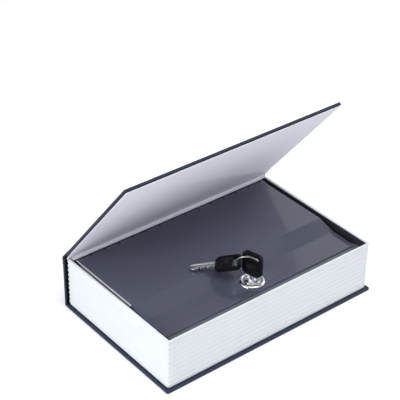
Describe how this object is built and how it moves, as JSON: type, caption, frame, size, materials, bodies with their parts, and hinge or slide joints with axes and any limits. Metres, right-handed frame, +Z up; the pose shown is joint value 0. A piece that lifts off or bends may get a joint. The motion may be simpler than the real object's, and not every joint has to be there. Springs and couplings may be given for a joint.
{
  "type": "book safe",
  "caption": "Lock box disguised as a hardback book: opening cover, page-edge shell, steel tray and a hinged steel lid with a keyed cam lock and a ring of keys.",
  "frame": {"origin": "centre of the back board's underside, on the surface that the closed book lies on", "axes": "+X along the book from its tail to its head, +Y from the fore edge to the spine, +Z up out of the back board"},
  "size_m": [0.24, 0.156, 0.1771],
  "materials": {
    "back_board": "navy book cloth over grey board",
    "spine_board": "navy book cloth over grey board",
    "front_board": "navy book cloth over grey board",
    "joint_cloth": "navy book cloth",
    "back_endpaper": "matt pale lavender-grey paper",
    "front_endpaper": "matt pale lavender-grey paper",
    "page_block": "satin white, grooved like page edges",
    "steel_tray": "dark grey powder coat",
    "lock_strike": "dark grey powder coat",
    "tray_hinge_leaf": "dark grey powder coat",
    "lid_panel": "dark grey powder coat",
    "lid_hinge_leaf": "dark grey powder coat",
    "hinge_pin": "drawn wire",
    "lock_housing": "bright chrome plate",
    "lock_plug": "bright chrome plate",
    "lock_washer": "zinc plate",
    "lock_nut": "zinc plate",
    "lock_cam": "zinc plate",
    "cam_screw": "zinc plate",
    "key_bow": "black moulded plastic",
    "spare_key_bow": "black moulded plastic",
    "key_blade": "nickel plate",
    "spare_key_blade": "nickel plate",
    "split_ring": "nickel-plated spring wire"
  },
  "bodies": {
    "case": {"back_board": "back_board", "spine_board": "spine_board", "back_endpaper": "back_endpaper", "page_block": "page_block", "steel_tray": "steel_tray", "lock_strike": "lock_strike", "tray_hinge_leaf": "tray_hinge_leaf", "hinge_pin": "hinge_pin"},
    "lid": {"lid_panel": "lid_panel", "lid_hinge_leaf": "lid_hinge_leaf", "lock_housing": "lock_housing", "lock_washer": "lock_washer", "lock_nut": "lock_nut"},
    "plug": {"lock_plug": "lock_plug", "lock_cam": "lock_cam", "cam_screw": "cam_screw"},
    "key": {"key_bow": "key_bow", "key_blade": "key_blade"},
    "ring": {"split_ring": "split_ring"},
    "spare_key": {"spare_key_bow": "spare_key_bow", "spare_key_blade": "spare_key_blade"},
    "cover_joint": {"joint_cloth": "joint_cloth"},
    "front_cover": {"front_board": "front_board", "front_endpaper": "front_endpaper"}
  },
  "joints": [
    {"name": "lid_hinge", "type": "hinge", "parent": "case", "child": "lid", "pos_m": [0, 0.0677, 0.0507], "axis": [-1, 0, 0], "range_deg": [0, 90]},
    {"name": "plug_turn", "type": "hinge", "parent": "lid", "child": "plug", "pos_m": [-0.0015, -0.0468, 0.0499], "axis": [0, 0, -1], "range_deg": [0, 90]},
    {"name": "key_withdraw", "type": "slide", "parent": "plug", "child": "key", "axis": [0, 0, 1], "range_m": [0, 0.04]},
    {"name": "ring_swing", "type": "hinge", "parent": "key", "child": "ring", "pos_m": [-0.00149, -0.04013, 0.0631], "axis": [0.6495, 0.6667, 0.3655], "range_deg": [0, 10]},
    {"name": "spare_key_swing", "type": "hinge", "parent": "ring", "child": "spare_key", "pos_m": [-0.00933, -0.03284, 0.06374], "axis": [0.2084, 0.3062, -0.9289], "range_deg": [0, 20]},
    {"name": "cover_joint_turn", "type": "hinge", "parent": "case", "child": "cover_joint", "pos_m": [0, 0.074, 0.0552], "axis": [-1, 0, 0], "range_deg": [0, 63]},
    {"name": "cover_hinge", "type": "hinge", "parent": "cover_joint", "child": "front_cover", "pos_m": [0, 0.074, 0.0552], "axis": [-1, 0, 0], "range_deg": [-38, 77]}
  ],
  "couplings": [
    {"joint": "cover_joint_turn", "follows": "lid_hinge", "ratio": 0.7}
  ]
}
